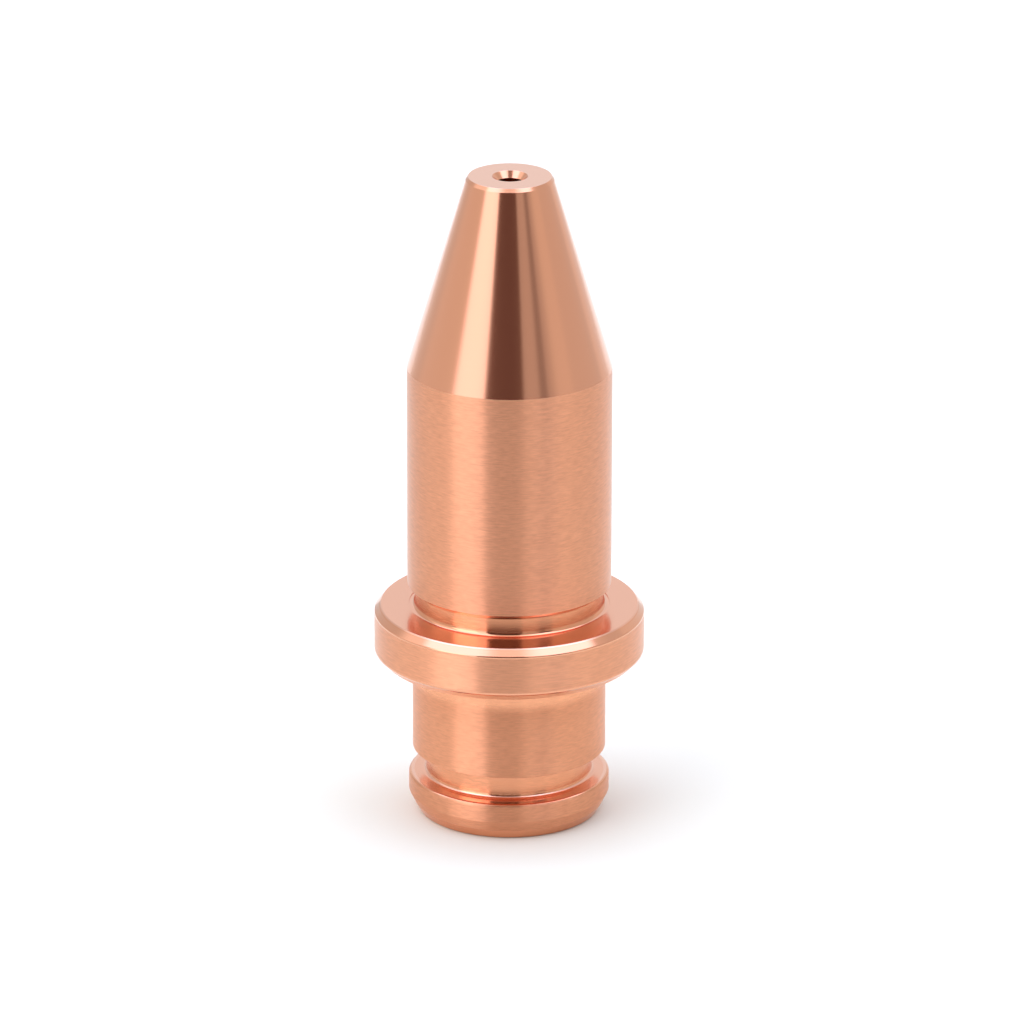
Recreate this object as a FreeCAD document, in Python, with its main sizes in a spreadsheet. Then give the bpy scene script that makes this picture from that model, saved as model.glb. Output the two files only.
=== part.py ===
import FreeCAD, Part
import os

import Sketcher

# The nozzle is turned from one copper bar. It stands on its foot, which is the end that enters
# the holder, and its nose points up. The axis of turning is Z and the base face lies at zero.
# Every size is in millimetres.

# Driving sizes. Diameters are turned diameters, and lengths are measured along the axis.
SIZES = {
    # Foot ring, which guides the spigot into the holder
    "foot_diameter": 11.85,
    "foot_height": 2.33,
    "lead_in_height": 1.2,
    "lead_in_width": 0.6,
    # Spigot, with the groove that seats the seal above the foot
    "neck_diameter": 11.4,
    "spigot_length": 9.6,
    "neck_root_radius": 0.3,
    "seal_groove_width": 1.6,
    "seal_groove_depth": 0.87,
    "seal_groove_radius": 0.27,
    # Flange, whose underside seats on the holder
    "flange_diameter": 15.9,
    "flange_thickness": 3.2,
    "flange_top_chamfer": 0.4,
    "flange_seat_chamfer": 0.45,
    # Relief groove between the flange and the body, which undercuts the flange's face a little
    "relief_groove_width": 1.4,
    "relief_groove_depth": 0.5,
    "relief_groove_radius": 0.33,
    "relief_undercut_depth": 0.06,
    "relief_undercut_reach": 0.4,
    # Body and conical nose
    "body_diameter": 12.0,
    "body_length": 13.35,
    "nose_length": 11.4,
    "nose_diameter": 5.15,
    "tip_face_diameter": 4.85,
    "tip_bevel_height": 0.2,
    # Gas passage: straight inlet, converging cone, throat and exit countersink
    "inlet_diameter": 7.0,
    "inlet_depth": 22.0,
    "inlet_chamfer": 0.4,
    "throat_diameter": 1.5,
    "throat_length": 2.4,
    "countersink_diameter": 2.1,
    "countersink_depth": 0.36,
}

NAME_COLUMN = "A"
VALUE_COLUMN = "B"
FULL_TURN = 360.0
SAME_PLACE = 0.0001

# Radii and heights that several sketches share, as expressions on the sheet
FOOT_RADIUS = "sizes.foot_diameter / 2"
NECK_RADIUS = "sizes.neck_diameter / 2"
FLANGE_RADIUS = "sizes.flange_diameter / 2"
BODY_RADIUS = "sizes.body_diameter / 2"
RELIEF_RADIUS = BODY_RADIUS + " - sizes.relief_groove_depth"
UNDERCUT_RADIUS = RELIEF_RADIUS + " + sizes.relief_undercut_reach"
INLET_RADIUS = "sizes.inlet_diameter / 2"
THROAT_RADIUS = "sizes.throat_diameter / 2"
SEAL_RADIUS = NECK_RADIUS + " - sizes.seal_groove_depth"

FOOT_TOP = "sizes.foot_height"
SEAL_GROOVE_TOP = "sizes.foot_height + sizes.seal_groove_width"
FLANGE_SEAT = "sizes.spigot_length"
FLANGE_TOP = FLANGE_SEAT + " + sizes.flange_thickness"
UNDERCUT_FLOOR = FLANGE_TOP + " - sizes.relief_undercut_depth"
BODY_BOTTOM = FLANGE_TOP + " + sizes.relief_groove_width"
NOSE_BOTTOM = BODY_BOTTOM + " + sizes.body_length"
BEVEL_BOTTOM = NOSE_BOTTOM + " + sizes.nose_length"
TIP_FACE = BEVEL_BOTTOM + " + sizes.tip_bevel_height"
COUNTERSINK_BOTTOM = TIP_FACE + " - sizes.countersink_depth"
THROAT_BOTTOM = COUNTERSINK_BOTTOM + " - sizes.throat_length"

ON_AXIS = None
ON_BASE = None

# How a sketch numbers its origin, its axes and the two ends of a line
ORIGIN_NUMBERS = (-1, 1)
BASE_LINE_NUMBER = -1
TURNING_AXIS_NUMBER = -2
START_NUMBER = 1
END_NUMBER = 2


def add_sheet(document):
    """Writes each driving size into a cell of its own, which carries the size's name."""
    sheet = document.addObject("Spreadsheet::Sheet", "sizes")
    for row, (name, value) in enumerate(SIZES.items(), start=1):
        sheet.set(f"{NAME_COLUMN}{row}", name)
        sheet.set(f"{VALUE_COLUMN}{row}", str(value))
        sheet.setAlias(f"{VALUE_COLUMN}{row}", name)
    document.recompute()
    return sheet


def origin_plane(body, role):
    """The body's own origin plane with this role."""
    for feature in body.Origin.OriginFeatures:
        if feature.Role == role:
            return feature
    raise ValueError(f"{body.Label} has no {role}")


def add_section(body, name, corners):
    """Draws a closed half section beside the axis, with each corner held by named sizes.

    A corner is a radius and a height, each an expression on the sheet. A corner that shares its
    radius or height with the corner before it is kept plumb or level with that corner instead."""
    sketch = body.newObject("Sketcher::SketchObject", name)
    sketch.AttachmentSupport = (origin_plane(body, "XZ_Plane"), "")
    sketch.MapMode = "FlatFace"
    points = []
    for radius, height in corners:
        across = 0.0 if radius is ON_AXIS else size_of(body, radius)
        up = 0.0 if height is ON_BASE else size_of(body, height)
        points.append(FreeCAD.Vector(across, up, 0))
    ends = points[1:] + points[:1]
    for start, end in zip(points, ends):
        sketch.addGeometry(Part.LineSegment(start, end))
    last = len(corners) - 1
    for line in range(last):
        constrain(sketch, "Coincident", line, END_NUMBER, line + 1, START_NUMBER)
    constrain(sketch, "Coincident", last, END_NUMBER, 0, START_NUMBER)
    for line, (radius, height) in enumerate(corners):
        radius_before, height_before = corners[line - 1] if line else (None, None)
        if radius is ON_AXIS:
            constrain(sketch, "PointOnObject", line, START_NUMBER, TURNING_AXIS_NUMBER)
        elif radius == radius_before:
            constrain(sketch, "Vertical", line - 1)
        else:
            hold(sketch, "DistanceX", line, points[line].x, f"radius_{line}", radius)
        if height is ON_BASE:
            constrain(sketch, "PointOnObject", line, START_NUMBER, BASE_LINE_NUMBER)
        elif height == height_before:
            constrain(sketch, "Horizontal", line - 1)
        else:
            hold(sketch, "DistanceY", line, points[line].y, f"height_{line}", height)
    return sketch


def size_of(body, expression):
    """The value that an expression on the sheet has now."""
    return float(body.Document.getObject("sizes").evalExpression(expression))


def constrain(sketch, kind, *numbers):
    """Adds a constraint to the sketch and returns its number."""
    return sketch.addConstraint(Sketcher.Constraint(kind, *numbers))


def hold(sketch, kind, line, value, name, expression):
    """Holds a line's start at a distance from the origin, under a name that follows the sheet."""
    number = constrain(sketch, kind, *ORIGIN_NUMBERS, line, START_NUMBER, value)
    sketch.renameConstraint(number, name)
    sketch.setExpression(f"Constraints.{name}", expression)


def turn(body, kind, name, sketch):
    """Turns a half section once round the axis, as material or as a cut."""
    feature = body.newObject(kind, name)
    feature.Profile = sketch
    feature.ReferenceAxis = (sketch, ["V_Axis"])
    feature.Angle = FULL_TURN
    body.Document.recompute()
    return feature


def turned_edge(body, radius, height):
    """The name of the circular edge at this radius and height on the body as it stands."""
    wanted_radius = size_of(body, radius)
    wanted_height = size_of(body, height)
    for number, edge in enumerate(body.Shape.Edges, start=1):
        if not isinstance(edge.Curve, Part.Circle):
            continue
        same_radius = abs(edge.Curve.Radius - wanted_radius) < SAME_PLACE
        same_height = abs(edge.Curve.Center.z - wanted_height) < SAME_PLACE
        if same_radius and same_height:
            return f"Edge{number}"
    raise ValueError(f"no turned edge at {radius}, {height}")


def dress(body, kind, name, size, places):
    """Rounds or bevels turned edges, each given by its radius and height."""
    edges = [turned_edge(body, radius, height) for radius, height in places]
    base = body.Tip
    feature = body.newObject(kind, name)
    feature.Base = (base, edges)
    size_property = "Radius" if kind.endswith("Fillet") else "Size"
    feature.setExpression(size_property, size)
    body.Document.recompute()
    return feature


def add_nozzle(document):
    """The turned nozzle: outside, grooves, gas passage, then the broken and rounded edges."""
    body = document.addObject("PartDesign::Body", "nozzle")
    body.Label = "nozzle"

    outside = add_section(
        body,
        "outside_section",
        [
            (ON_AXIS, ON_BASE),
            (FOOT_RADIUS + " - sizes.lead_in_width", ON_BASE),
            (FOOT_RADIUS, "sizes.lead_in_height"),
            (FOOT_RADIUS, FOOT_TOP),
            (NECK_RADIUS, FOOT_TOP),
            (NECK_RADIUS, FLANGE_SEAT),
            (FLANGE_RADIUS, FLANGE_SEAT),
            (FLANGE_RADIUS, FLANGE_TOP),
            (BODY_RADIUS, FLANGE_TOP),
            (BODY_RADIUS, NOSE_BOTTOM),
            ("sizes.nose_diameter / 2", BEVEL_BOTTOM),
            ("sizes.tip_face_diameter / 2", TIP_FACE),
            (ON_AXIS, TIP_FACE),
        ],
    )
    turn(body, "PartDesign::Revolution", "outside", outside)

    relief = add_section(
        body,
        "relief_groove_section",
        [
            (RELIEF_RADIUS, UNDERCUT_FLOOR),
            (UNDERCUT_RADIUS, UNDERCUT_FLOOR),
            (UNDERCUT_RADIUS, FLANGE_TOP),
            (BODY_RADIUS, FLANGE_TOP),
            (BODY_RADIUS, BODY_BOTTOM),
            (RELIEF_RADIUS, BODY_BOTTOM),
        ],
    )
    turn(body, "PartDesign::Groove", "relief_groove", relief)

    seal = add_section(
        body,
        "seal_groove_section",
        [
            (SEAL_RADIUS, FOOT_TOP),
            (NECK_RADIUS, FOOT_TOP),
            (NECK_RADIUS, SEAL_GROOVE_TOP),
            (SEAL_RADIUS, SEAL_GROOVE_TOP),
        ],
    )
    turn(body, "PartDesign::Groove", "seal_groove", seal)

    passage = add_section(
        body,
        "gas_passage_section",
        [
            (ON_AXIS, ON_BASE),
            (INLET_RADIUS, ON_BASE),
            (INLET_RADIUS, "sizes.inlet_depth"),
            (THROAT_RADIUS, THROAT_BOTTOM),
            (THROAT_RADIUS, COUNTERSINK_BOTTOM),
            ("sizes.countersink_diameter / 2", TIP_FACE),
            (ON_AXIS, TIP_FACE),
        ],
    )
    turn(body, "PartDesign::Groove", "gas_passage", passage)

    dress(
        body,
        "PartDesign::Fillet",
        "relief_groove_corner",
        "sizes.relief_groove_radius",
        [(RELIEF_RADIUS, UNDERCUT_FLOOR)],
    )
    dress(
        body,
        "PartDesign::Fillet",
        "seal_groove_corners",
        "sizes.seal_groove_radius",
        [(SEAL_RADIUS, FOOT_TOP), (SEAL_RADIUS, SEAL_GROOVE_TOP)],
    )
    dress(
        body,
        "PartDesign::Fillet",
        "neck_root",
        "sizes.neck_root_radius",
        [(NECK_RADIUS, FLANGE_SEAT)],
    )
    dress(
        body,
        "PartDesign::Chamfer",
        "flange_top_edge",
        "sizes.flange_top_chamfer",
        [(FLANGE_RADIUS, FLANGE_TOP)],
    )
    dress(
        body,
        "PartDesign::Chamfer",
        "flange_seat_edge",
        "sizes.flange_seat_chamfer",
        [(FLANGE_RADIUS, FLANGE_SEAT)],
    )
    dress(
        body,
        "PartDesign::Chamfer",
        "inlet_mouth",
        "sizes.inlet_chamfer",
        [(INLET_RADIUS, "0")],
    )
    return body


def check(document, bodies):
    """Stops the build if a feature failed or a finished piece isn't one sound solid."""
    for item in document.Objects:
        if "Invalid" in item.State or "Error" in item.State:
            raise RuntimeError(f"{item.Label} failed: {item.State}")
    for body in bodies:
        shape = body.Shape
        if shape.isNull() or not shape.isValid() or len(shape.Solids) != 1:
            raise RuntimeError(f"{body.Label} isn't one sound solid")


document = FreeCAD.newDocument("gas_cutting_nozzle")
add_sheet(document)
bodies = [add_nozzle(document)]
document.recompute()
check(document, bodies)

os.makedirs("parts", exist_ok=True)
for body in bodies:
    body.Shape.exportStep(f"parts/{body.Label}.step")
    box = body.Shape.BoundBox
    across, tall = box.XLength, box.ZLength
    print(f"{body.Label}: {body.Shape.Volume:.3f} mm3, {across:.3f} mm across, {tall:.3f} mm tall")
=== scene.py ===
import math

import bpy
from mathutils import Matrix, Vector


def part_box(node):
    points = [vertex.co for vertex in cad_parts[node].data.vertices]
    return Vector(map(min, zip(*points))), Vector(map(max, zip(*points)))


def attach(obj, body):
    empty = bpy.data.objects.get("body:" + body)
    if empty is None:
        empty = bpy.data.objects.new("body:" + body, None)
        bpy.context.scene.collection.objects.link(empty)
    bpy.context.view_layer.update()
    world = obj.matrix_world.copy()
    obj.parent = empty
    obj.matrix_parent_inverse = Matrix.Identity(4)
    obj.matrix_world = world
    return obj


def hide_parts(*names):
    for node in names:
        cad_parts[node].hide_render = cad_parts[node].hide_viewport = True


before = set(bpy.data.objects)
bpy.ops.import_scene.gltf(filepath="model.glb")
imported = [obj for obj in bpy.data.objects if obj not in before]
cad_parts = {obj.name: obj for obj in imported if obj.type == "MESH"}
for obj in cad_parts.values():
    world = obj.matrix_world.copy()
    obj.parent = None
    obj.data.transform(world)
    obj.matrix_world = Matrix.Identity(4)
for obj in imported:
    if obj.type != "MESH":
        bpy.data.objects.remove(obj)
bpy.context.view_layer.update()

# The turned body of the nozzle
# One piece of copper bar, turned to this outline and bored through from the foot. Every edge that the
# tool leaves is broken by a few hundredths of a millimetre, and the flange's and the foot's by more.

MILLIMETRE = 0.001

lowest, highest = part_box("nozzle")
TIP_FACE = highest.z / MILLIMETRE
FLANGE_RADIUS = highest.x / MILLIMETRE

# Outline sizes in millimetres, from the base face up
FOOT_RADIUS = 5.925
FOOT_TOP = 2.33
LEAD_IN_HEIGHT = 1.2
LEAD_IN_WIDTH = 0.6
NECK_RADIUS = 5.7
SEAL_GROOVE_WIDTH = 1.6
SEAL_GROOVE_DEPTH = 0.87
SEAL_GROOVE_FILLET = 0.27
FLANGE_SEAT = 9.6
FLANGE_TOP = 12.8
FLANGE_TOP_CHAMFER = 0.4
FLANGE_SEAT_CHAMFER = 0.45
NECK_FILLET = 0.3
BODY_RADIUS = 6.0
RELIEF_WIDTH = 1.4
RELIEF_DEPTH = 0.5
RELIEF_FILLET = 0.33
UNDERCUT_DEPTH = 0.06
UNDERCUT_REACH = 0.4
NOSE_BOTTOM = 27.55
NOSE_RADIUS = 2.575
BEVEL_HEIGHT = 0.2
TIP_RADIUS = 2.425

# Gas passage
COUNTERSINK_RADIUS = 1.05
COUNTERSINK_DEPTH = 0.36
THROAT_RADIUS = 0.75
THROAT_LENGTH = 2.4
INLET_RADIUS = 3.5
INLET_DEPTH = 22.0
INLET_CHAMFER = 0.4

# How far the edges are rounded, from the sharpest to the softest
CRISP_EDGE = 0.01
BROKEN_EDGE = 0.05
SOFT_EDGE = 0.09
ROLLED_EDGE = 0.12
EASED_EDGE = 0.2

# The grooves' floors, which the tool leaves slightly hollow and leaning
FLOOR_HOLLOW = 0.08
FLOOR_LEAN = 0.04
FLOOR_CURVE = 0.5
HOLLOW_HEIGHT = 1.05

# How finely the turned surface is divided, and how far the flat points stand from each arc
ARC_STEP = math.radians(12)
STEPS_ROUND = 256
SHOULDER = 0.01
WELD = 1e-8

relief_radius = BODY_RADIUS - RELIEF_DEPTH
relief_middle = FLANGE_TOP + HOLLOW_HEIGHT
undercut_floor = FLANGE_TOP - UNDERCUT_DEPTH
undercut_radius = relief_radius + UNDERCUT_REACH
seal_radius = NECK_RADIUS - SEAL_GROOVE_DEPTH
seal_groove_top = FOOT_TOP + SEAL_GROOVE_WIDTH
body_bottom = FLANGE_TOP + RELIEF_WIDTH
bevel_bottom = TIP_FACE - BEVEL_HEIGHT
throat_top = TIP_FACE - COUNTERSINK_DEPTH
throat_bottom = throat_top - THROAT_LENGTH

# Corners of the half section: radius, height and how far the edge is rounded. They run down the
# outside, in across the base and up the passage, so that the turned faces point outwards.
nose_corners = [
    (COUNTERSINK_RADIUS, TIP_FACE, CRISP_EDGE),
    (TIP_RADIUS, TIP_FACE, CRISP_EDGE),
    (NOSE_RADIUS, bevel_bottom, CRISP_EDGE),
    (BODY_RADIUS, NOSE_BOTTOM, CRISP_EDGE),
]
body_corners = [
    (BODY_RADIUS, body_bottom, CRISP_EDGE),
    (relief_radius + FLOOR_HOLLOW, body_bottom, BROKEN_EDGE),
    (relief_radius, relief_middle, FLOOR_CURVE),
    (relief_radius + FLOOR_LEAN, undercut_floor, RELIEF_FILLET),
    (undercut_radius, undercut_floor, 0.0),
    (undercut_radius + SHOULDER, FLANGE_TOP, CRISP_EDGE),
]
flange_corners = [
    (FLANGE_RADIUS - FLANGE_TOP_CHAMFER, FLANGE_TOP, CRISP_EDGE),
    (FLANGE_RADIUS, FLANGE_TOP - FLANGE_TOP_CHAMFER, ROLLED_EDGE),
    (FLANGE_RADIUS, FLANGE_SEAT + FLANGE_SEAT_CHAMFER, BROKEN_EDGE),
    (FLANGE_RADIUS - FLANGE_SEAT_CHAMFER, FLANGE_SEAT, BROKEN_EDGE),
    (NECK_RADIUS, FLANGE_SEAT, NECK_FILLET),
]
spigot_corners = [
    (NECK_RADIUS, seal_groove_top, BROKEN_EDGE),
    (seal_radius, seal_groove_top, SEAL_GROOVE_FILLET),
    (seal_radius + FLOOR_LEAN, FOOT_TOP, SEAL_GROOVE_FILLET),
    (FOOT_RADIUS, FOOT_TOP, EASED_EDGE),
    (FOOT_RADIUS, LEAD_IN_HEIGHT, SOFT_EDGE),
    (FOOT_RADIUS - LEAD_IN_WIDTH, 0.0, EASED_EDGE),
]
passage_corners = [
    (INLET_RADIUS + INLET_CHAMFER, 0.0, BROKEN_EDGE),
    (INLET_RADIUS, INLET_CHAMFER, BROKEN_EDGE),
    (INLET_RADIUS, INLET_DEPTH, BROKEN_EDGE),
    (THROAT_RADIUS, throat_bottom, BROKEN_EDGE),
    (THROAT_RADIUS, throat_top, CRISP_EDGE),
]


def rounded_outline(corners):
    """The closed outline with each corner as an arc, and a point on the flat just before and after it."""
    outline = []
    for number, (radius, height, edge) in enumerate(corners):
        before = Vector(corners[number - 1][:2])
        corner = Vector((radius, height))
        after = Vector(corners[(number + 1) % len(corners)][:2])
        way_in = (corner - before).normalized()
        way_out = (after - corner).normalized()
        turn = way_in.angle_signed(way_out)
        reach = edge * math.tan(abs(turn) / 2)
        side = Vector((way_in.y, -way_in.x)) * math.copysign(1, turn)
        start = corner - way_in * reach
        centre = start + side * edge
        steps = max(2, math.ceil(abs(turn) / ARC_STEP))
        outline.append(start - way_in * SHOULDER)
        for step in range(steps + 1):
            spoke = (start - centre).copy()
            spoke.rotate(Matrix.Rotation(-turn * step / steps, 2))
            outline.append(centre + spoke)
        outline.append(corner + way_out * (reach + SHOULDER))
    return outline


class Field:
    """A socket of a node tree that takes Python's own arithmetic: each sign adds the Math node for it."""

    def __init__(self, tree, socket=None):
        self.tree = tree
        self.socket = socket

    def node(self, kind, settings=None, values=None, output=0):
        """Adds a node: its settings first, then what its sockets hold or are linked to."""
        added = self.tree.nodes.new(kind)
        for name, setting in (settings or {}).items():
            setattr(added, name, setting)
        for name, value in (values or {}).items():
            if isinstance(value, Field):
                self.tree.links.new(value.socket, added.inputs[name])
            else:
                added.inputs[name].default_value = value
        return Field(self.tree, added.outputs[output]) if len(added.outputs) else added

    def maths(self, operation, *operands):
        return self.node("ShaderNodeMath", {"operation": operation}, dict(enumerate(operands)))

    def axes(self):
        """The X, Y and Z of this vector."""
        apart = self.node("ShaderNodeSeparateXYZ", None, {0: self}).socket.node
        return [Field(self.tree, socket) for socket in apart.outputs]

    def mixed(self, first, second):
        """The first colour where this mask is 0, and the second where it is 1."""
        colours = {"Factor": self, "A": first, "B": second}
        return self.node("ShaderNodeMix", {"data_type": "RGBA"}, colours, output=2)

    def __add__(self, other):
        return self.maths("ADD", self, other)

    def __radd__(self, other):
        return self.maths("ADD", other, self)

    def __sub__(self, other):
        return self.maths("SUBTRACT", self, other)

    def __rsub__(self, other):
        return self.maths("SUBTRACT", other, self)

    def __mul__(self, other):
        return self.maths("MULTIPLY", self, other)

    def __rmul__(self, other):
        return self.maths("MULTIPLY", other, self)

    def __truediv__(self, other):
        return self.maths("DIVIDE", self, other)

    def __gt__(self, other):
        return self.maths("GREATER_THAN", self, other)

    def __lt__(self, other):
        return self.maths("LESS_THAN", self, other)


def lathe_tree(name):
    """A tree that turns a chain of points round the Z axis into a closed, welded surface."""
    tree = bpy.data.node_groups.new(name, "GeometryNodeTree")
    tree.interface.new_socket("Geometry", in_out="INPUT", socket_type="NodeSocketGeometry")
    tree.interface.new_socket("Steps Round", in_out="INPUT", socket_type="NodeSocketInt")
    tree.interface.new_socket("Weld", in_out="INPUT", socket_type="NodeSocketFloat")
    tree.interface.new_socket("Material", in_out="INPUT", socket_type="NodeSocketMaterial")
    tree.interface.new_socket("Geometry", in_out="OUTPUT", socket_type="NodeSocketGeometry")
    start = Field(tree)
    group = tree.nodes.new("NodeGroupInput")
    outline, steps, weld, material = (Field(tree, group.outputs[number]) for number in range(4))

    points = start.node("GeometryNodeAttributeDomainSize", {"component": "MESH"}, {"Geometry": outline})
    columns = steps + 1
    grid = start.node("GeometryNodeMeshGrid", None, {"Vertices X": points + 1, "Vertices Y": columns})
    index = start.node("GeometryNodeInputIndex")
    row = start.maths("FLOOR", index / columns)
    column = index - row * columns
    section = start.node(
        "GeometryNodeSampleIndex",
        {"data_type": "FLOAT_VECTOR"},
        {
            "Geometry": outline,
            "Value": start.node("GeometryNodeInputPosition"),
            "Index": start.maths("MODULO", row, points),
        },
    )
    turned = start.node(
        "ShaderNodeVectorRotate",
        {"rotation_type": "Z_AXIS"},
        {"Vector": section, "Angle": column * math.tau / steps},
    )
    surface = start.node("GeometryNodeSetPosition", None, {"Geometry": grid, "Position": turned})
    welded = start.node("GeometryNodeMergeByDistance", None, {"Geometry": surface, "Distance": weld})
    smooth = start.node("GeometryNodeSetShadeSmooth", None, {"Geometry": welded})
    real = start.node("GeometryNodeRealizeInstances", None, {"Geometry": smooth})
    finished = start.node("GeometryNodeSetMaterial", None, {"Geometry": real, "Material": material})
    start.node("NodeGroupOutput", None, {0: finished})
    return tree


def turned_piece(name, corners, material):
    """Turns the rounded outline of these corners into a plain mesh, in metres."""
    outline = [point * MILLIMETRE for point in rounded_outline(corners)]
    mesh = bpy.data.meshes.new(name)
    last = len(outline) - 1
    chain = [(number, number + 1) for number in range(last)] + [(last, 0)]
    mesh.from_pydata([(point.x, 0.0, point.y) for point in outline], chain, [])
    piece = bpy.data.objects.new(name, mesh)
    bpy.context.scene.collection.objects.link(piece)
    tree = lathe_tree(name + "_lathe")
    lathe = piece.modifiers.new("lathe", "NODES")
    lathe.node_group = tree
    settings = {"Steps Round": STEPS_ROUND, "Weld": WELD, "Material": material}
    for socket in tree.interface.items_tree:
        if socket.in_out == "INPUT" and socket.name in settings:
            lathe[socket.identifier] = settings[socket.name]
    evaluated = piece.evaluated_get(bpy.context.evaluated_depsgraph_get())
    finished = bpy.data.meshes.new_from_object(evaluated)
    piece.modifiers.remove(lathe)
    piece.data = finished
    return piece


# Finish of the copper
# Bright copper straight from the lathe. The cylinders and the grooves' floors keep the tool's fine
# lines, which smear a reflection along the axis, and the cone, the faces and the broken edges are
# burnished. A clear lacquer covers all but the grooves, and is thinner on the turned parts. The faces
# square to the axis are painted paler copper as a painted sheen, and the flange and the neck are
# painted lighter as painted light.

COPPER = (0.80, 0.353, 0.198, 1.0)
# Painted sheen: the faces square to the axis get this paler copper in place of the pale reflection they
# catch
PAINTED_SHEEN_COPPER = (0.87, 0.465, 0.335, 1.0)
DARK_LINE = (0.64, 0.262, 0.138, 1.0)
BRIGHT_LINE = (0.96, 0.432, 0.238, 1.0)

# Roughness of the turned cylinders, of the grooves, and of the three burnished surfaces
TURNED_ROUGHNESS = 0.385
GROOVE_ROUGHNESS = 0.2
CONE_ROUGHNESS = 0.16
FACED_ROUGHNESS = 0.17
BURNISHED_ROUGHNESS = 0.1

# The turning lines: how far apart, how high, how many streaks go round, how much the lines on a flat
# face lean towards its rim, and how much they change the tone and the roughness
LINE_PITCH = 0.09 * MILLIMETRE
LINE_HEIGHT = 0.002 * MILLIMETRE
STREAKS_ROUND = 10.0
FACE_SLOPE = 2.0
LINE_DETAIL = 3.0
LINE_BREAKUP = 0.6
LINE_CONTRAST = 1.35
LINE_ROUGHNESS = 0.12
ALONG_AXIS = 0.25

# Painted light: how much lighter the lines are painted on the flange, on the neck and just under the
# flange, where the neck is also smoother, with the height below the seat where that begins and where
# it is full
PAINTED_LIGHT_FLANGE = 0.2
PAINTED_LIGHT_NECK = 0.15
PAINTED_LIGHT_SHOULDER = 0.1
SHOULDER_BEGINS = 1.6
SHOULDER_FULL = 1.0

LACQUER = 0.8
THIN_LACQUER = 0.35
SPIGOT_LACQUER = 0.1
LACQUER_ROUGHNESS = 0.12

# How far each finish runs past the edge of its own surface
EDGE_MARGIN = 0.1
FACE_MARGIN = 0.01


def empty_material(name):
    """A material with no nodes, and the field that its nodes are added through."""
    material = bpy.data.materials.new(name)
    material.use_nodes = True
    material.node_tree.nodes.clear()
    return material, Field(material.node_tree)


def between(value, low, high):
    """1 where a value in metres lies between two sizes in millimetres, and 0 elsewhere."""
    return (value > low * MILLIMETRE) * (value < high * MILLIMETRE)


def turned_mask(height, radius):
    """1 where the tool's lines show: on the outer walls and on the floors of both grooves."""
    outside = radius > (NECK_RADIUS - 2 * BROKEN_EDGE) * MILLIMETRE
    flange_edge = FLANGE_SEAT + FLANGE_SEAT_CHAMFER
    flange_high = FLANGE_TOP - FLANGE_TOP_CHAMFER - EDGE_MARGIN
    walls = outside * (
        between(height, body_bottom + CRISP_EDGE, NOSE_BOTTOM)
        + between(height, flange_edge + EDGE_MARGIN, flange_high)
        + between(height, seal_groove_top, flange_edge - EDGE_MARGIN)
        + (height < (FOOT_TOP - BROKEN_EDGE) * MILLIMETRE)
    )
    relief_floor = between(height, FLANGE_TOP + RELIEF_FILLET / 2, relief_middle)
    relief_floor = relief_floor * between(radius, 0.0, relief_radius + EDGE_MARGIN)
    seal_floor = between(height, FOOT_TOP + SEAL_GROOVE_FILLET / 2, seal_groove_top)
    seal_floor = seal_floor * between(radius, 0.0, seal_radius + EDGE_MARGIN)
    return walls + relief_floor + seal_floor


def faced_mask(height):
    """1 on the three faces cut square to the axis: the flange's, the tip's and the foot ring's top."""
    flange_face = between(height, undercut_floor - FACE_MARGIN, FLANGE_TOP + FACE_MARGIN)
    tip_face = height > (TIP_FACE - FACE_MARGIN) * MILLIMETRE
    foot_face = between(height, FOOT_TOP - FACE_MARGIN, FOOT_TOP + SEAL_GROOVE_FILLET)
    return flange_face + tip_face + foot_face


def groove_mask(height, radius):
    """1 in the relief groove, and inside the neck's radius from the base to the seal groove's top."""
    in_relief = between(height, FLANGE_TOP - EDGE_MARGIN, body_bottom)
    inside = 1 - (radius > (NECK_RADIUS - 2 * BROKEN_EDGE) * MILLIMETRE)
    return in_relief + inside * between(height, 0.0, seal_groove_top)


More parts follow.
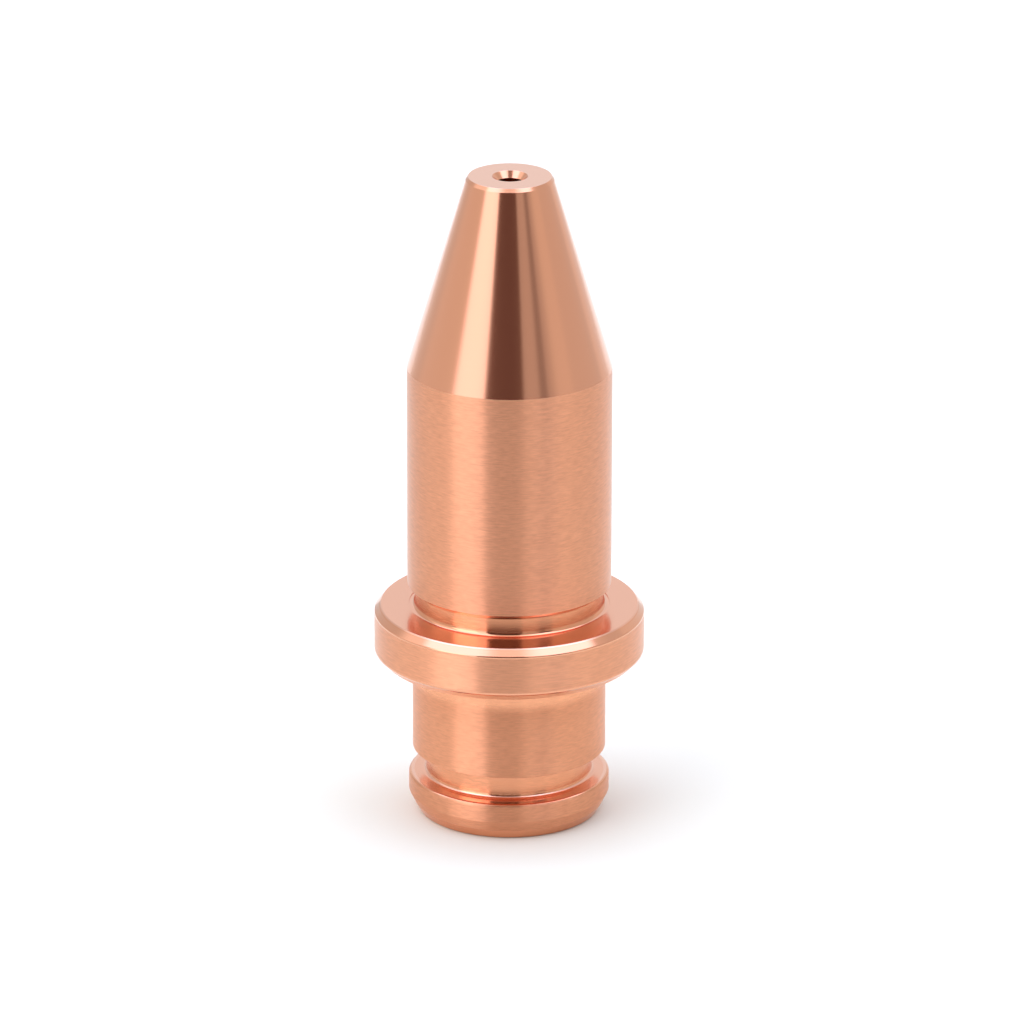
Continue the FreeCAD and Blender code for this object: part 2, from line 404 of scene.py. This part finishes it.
def copper_material():
    """Turned copper: two finishes, rough along the axis on the turned parts and smooth elsewhere."""
    material, start = empty_material("turned_copper")
    across_x, across_y, height = start.node("ShaderNodeTexCoord", output="Object").axes()
    radius = start.maths("SQRT", across_x * across_x + across_y * across_y)

    round_and_along = start.node(
        "ShaderNodeCombineXYZ",
        None,
        {
            "X": across_x / radius * STREAKS_ROUND,
            "Y": across_y / radius * STREAKS_ROUND,
            "Z": (height + radius * FACE_SLOPE) / LINE_PITCH,
        },
    )
    lines = start.node(
        "ShaderNodeTexNoise",
        None,
        {"Vector": round_and_along, "Scale": 1.0, "Detail": LINE_DETAIL, "Roughness": LINE_BREAKUP},
    )
    bump = start.node(
        "ShaderNodeBump",
        None,
        {"Height": lines, "Strength": 1.0, "Distance": LINE_HEIGHT},
    )

    grooves = groove_mask(height, radius)
    faced = faced_mask(height)
    cone = height > NOSE_BOTTOM * MILLIMETRE
    spigot = height < FLANGE_SEAT * MILLIMETRE
    under_flange = spigot * start.node(
        "ShaderNodeMapRange",
        None,
        {
            "Value": height,
            "From Min": (FLANGE_SEAT - SHOULDER_BEGINS) * MILLIMETRE,
            "From Max": (FLANGE_SEAT - SHOULDER_FULL) * MILLIMETRE,
        },
    )

    # Painted light: the flange, the neck and the neck just under the flange are painted lighter
    painted_light = between(height, FLANGE_SEAT, FLANGE_TOP) * PAINTED_LIGHT_FLANGE
    painted_light = painted_light + between(height, seal_groove_top, FLANGE_SEAT) * PAINTED_LIGHT_NECK
    painted_light = painted_light + under_flange * PAINTED_LIGHT_SHOULDER
    tone = (lines - 0.5) * LINE_CONTRAST + 0.5 + painted_light
    smoother = (grooves + under_flange) * (GROOVE_ROUGHNESS - TURNED_ROUGHNESS)
    turned_finish = start.node(
        "ShaderNodeBsdfPrincipled",
        None,
        {
            "Base Color": tone.mixed(DARK_LINE, BRIGHT_LINE),
            "Metallic": 1.0,
            "Roughness": TURNED_ROUGHNESS + (lines - 0.5) * LINE_ROUGHNESS + smoother,
            "Anisotropic": 1.0,
            "Anisotropic Rotation": ALONG_AXIS,
            "Coat Weight": (THIN_LACQUER + spigot * (SPIGOT_LACQUER - THIN_LACQUER)) * (1 - grooves),
            "Coat Roughness": LACQUER_ROUGHNESS,
            "Normal": bump,
        },
    )

    rougher_cone = cone * (1 - faced) * (CONE_ROUGHNESS - BURNISHED_ROUGHNESS)
    rougher_face = faced * (FACED_ROUGHNESS - BURNISHED_ROUGHNESS)
    # The faces square to the axis are painted the paler copper: a painted sheen
    burnished_finish = start.node(
        "ShaderNodeBsdfPrincipled",
        None,
        {
            "Base Color": faced.mixed(COPPER, PAINTED_SHEEN_COPPER),
            "Metallic": 1.0,
            "Roughness": BURNISHED_ROUGHNESS + rougher_cone + rougher_face,
            "Coat Weight": LACQUER * (1 - grooves),
            "Coat Roughness": LACQUER_ROUGHNESS,
        },
    )
    turned = turned_mask(height, radius)
    finish = start.node("ShaderNodeMixShader", None, {0: turned, 1: burnished_finish, 2: turned_finish})
    start.node("ShaderNodeOutputMaterial", None, {"Surface": finish})
    return material


nozzle = turned_piece(
    "turned_nozzle",
    nose_corners + body_corners + flange_corners + spigot_corners + passage_corners,
    copper_material(),
)
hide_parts("nozzle")
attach(nozzle, "root")

# Table
# A round white table top, matt and plain, wide enough that its rim stays out of the picture.

TABLE_RADIUS = 0.2
TABLE_STEPS = 96
TABLE_WHITE = (0.83, 0.835, 0.712, 1.0)
TABLE_ROUGHNESS = 0.9


def table_material():
    """Plain matt white."""
    material, start = empty_material("white_table")
    matt = {"Base Color": TABLE_WHITE, "Roughness": TABLE_ROUGHNESS}
    shader = start.node("ShaderNodeBsdfPrincipled", None, matt)
    start.node("ShaderNodeOutputMaterial", None, {"Surface": shader})
    return material


turns = [math.tau * step / TABLE_STEPS for step in range(TABLE_STEPS)]
rim = [(TABLE_RADIUS * math.cos(turn), TABLE_RADIUS * math.sin(turn), 0.0) for turn in turns]
table_mesh = bpy.data.meshes.new("table")
table_mesh.from_pydata(rim, [], [list(range(TABLE_STEPS))])
table = bpy.data.objects.new("table", table_mesh)
bpy.context.scene.collection.objects.link(table)
table.data.materials.append(table_material())

# Studio
# A white tent over the table. A soft box stands at the left and another hangs overhead, and the
# camera's own side is dark between them, which gives the nose its dark strip. The camera's arm
# hangs before the overhead box.

BACKDROP = (1.0, 1.0, 1.0, 1.0)
TENT = (0.82, 0.82, 0.82, 1.0)
GROUND_LIGHT = (1.17, 1.17, 1.18, 1.0)
NADIR = -180
HORIZON = -4
HORIZON_EDGE = 8

# Cards in the tent: azimuth from and to, elevation from and to, softness of the edges, all in degrees,
# then the light. Azimuth 0 is the camera's side and 90 is the right. A later card lies over an
# earlier one. In order: the left ones with the soft box, the ones behind on each side, the right
# ones with a dark gap at the front, the back wall in two halves, and the camera's side.
CARDS = [
    ((-118, -60), (24, 62), 16, (1.25, 1.28, 1.35)),
    ((-64, -15), (-10, 54), 9, (1.87, 1.9, 2.2)),
    ((-73, -40), (17, 56), 4, (2.8, 2.85, 3.0)),
    ((-166, -116), (-10, 34), 14, (0.74, 0.74, 0.74)),
    ((122, 172), (-10, 34), 5, (0.88, 0.88, 0.88)),
    ((75, 122), (-10, 40), 6, (0.75, 0.76, 0.78)),
    ((5, 52), (-10, 47), 14, (0.61, 0.6, 0.62)),
    ((34, 43), (-10, 17), 3, (0.34, 0.32, 0.34)),
    ((38, 55), (17, 45), 4, (0.16, 0.14, 0.14)),
    ((166, 185), (8, 34), 6, (0.94, 0.94, 0.94)),
    ((-185, -150), (8, 34), 6, (0.94, 0.94, 0.94)),
    ((-27.4, 15.6), (-10, 50), 1.5, (0.16, 0.107, 0.104)),
    ((-27.4, 15.6), (24, 50), 3, (0.08, 0.06, 0.05)),
]

# The arm that carries the camera, in the same form as a card. It lies over the overhead soft box.
ARM = ((-27.4, 20), (58, 66), 1.5, (0.2, 0.13, 0.13))

# The soft box overhead: how far it reaches for each metre of height, to either side and in depth. It
# is dimmer over the camera's side.
OVERHEAD_SIDE = 0.95
OVERHEAD_DEPTH = (-0.82, 0.6)
OVERHEAD_EDGE = 0.12
OVERHEAD_LIGHT = (2.2, 2.35, 3.1, 1.0)
MIDDLE_AZIMUTH = 30
MIDDLE_EDGE = 40
MIDDLE_LIGHT = (1.45, 1.45, 1.62, 1.0)

world = bpy.data.worlds.new("studio")
bpy.context.scene.world = world
world.use_nodes = True
world.node_tree.nodes.clear()
studio = Field(world.node_tree)
toward_x, toward_y, toward_z = studio.node("ShaderNodeTexCoord", output="Generated").axes()
azimuth = studio.maths("DEGREES", studio.maths("ARCTAN2", toward_x, 0 - toward_y))
elevation = studio.maths("DEGREES", studio.maths("ARCSINE", toward_z))


def soft_step(value, place, edge):
    """0 below the place and 1 above it, rising smoothly over the width of the edge."""
    return value.node(
        "ShaderNodeMapRange",
        {"interpolation_type": "SMOOTHSTEP"},
        {"Value": value, "From Min": place - edge / 2, "From Max": place + edge / 2},
    )


def soft_band(value, low, high, edge):
    """1 between low and high, falling smoothly to 0 over the width of an edge centred on each."""
    return soft_step(value, low, edge) * (1 - soft_step(value, high, edge))


def with_card(light, card):
    """The light with a card laid over it."""
    (left, right), (low, high), edge, card_light = card
    mask = soft_band(azimuth, left, right, edge) * soft_band(elevation, low, high, edge)
    return mask.mixed(light, (*card_light, 1.0))


light = soft_band(elevation, NADIR, HORIZON, HORIZON_EDGE).mixed(TENT, GROUND_LIGHT)
for card in CARDS:
    light = with_card(light, card)
side = toward_x / toward_z
depth = toward_y / toward_z
overhead = soft_band(side, -OVERHEAD_SIDE, OVERHEAD_SIDE, OVERHEAD_EDGE)
overhead = overhead * soft_band(depth, *OVERHEAD_DEPTH, OVERHEAD_EDGE) * (toward_z > 0)
middle = soft_band(azimuth, -MIDDLE_AZIMUTH, MIDDLE_AZIMUTH, MIDDLE_EDGE)
light = overhead.mixed(light, middle.mixed(OVERHEAD_LIGHT, MIDDLE_LIGHT))
light = with_card(light, ARM)
light = studio.node("ShaderNodeLightPath", output="Is Camera Ray").mixed(light, BACKDROP)
background = studio.node("ShaderNodeBackground", None, {"Color": light, "Strength": 1.0})
studio.node("ShaderNodeOutputWorld", None, {"Surface": background})

# Camera
# A long lens, looking down at the nozzle from the front by about twenty degrees.

CAMERA_PLACE = Vector((0.000181, -0.44556, 0.18312))
CAMERA_TILT = math.radians(90 - 20.2815)
CAMERA_TURN = math.radians(0.0037)
CAMERA_ROLL = math.radians(0.105)
CAMERA_LENS = 284.87
SENSOR_WIDTH = 36.0
NEAREST_SEEN = 0.01

camera_data = bpy.data.cameras.new("camera")
camera_data.lens = CAMERA_LENS
camera_data.sensor_width = SENSOR_WIDTH
camera_data.clip_start = NEAREST_SEEN
camera = bpy.data.objects.new("camera", camera_data)
bpy.context.scene.collection.objects.link(camera)
camera.location = CAMERA_PLACE
looking_down = Matrix.Rotation(CAMERA_TURN, 3, "Z") @ Matrix.Rotation(CAMERA_TILT, 3, "X")
camera.rotation_euler = (looking_down @ Matrix.Rotation(CAMERA_ROLL, 3, "Z")).to_euler()
bpy.context.scene.camera = camera
bpy.context.scene.view_settings.view_transform = "Standard"
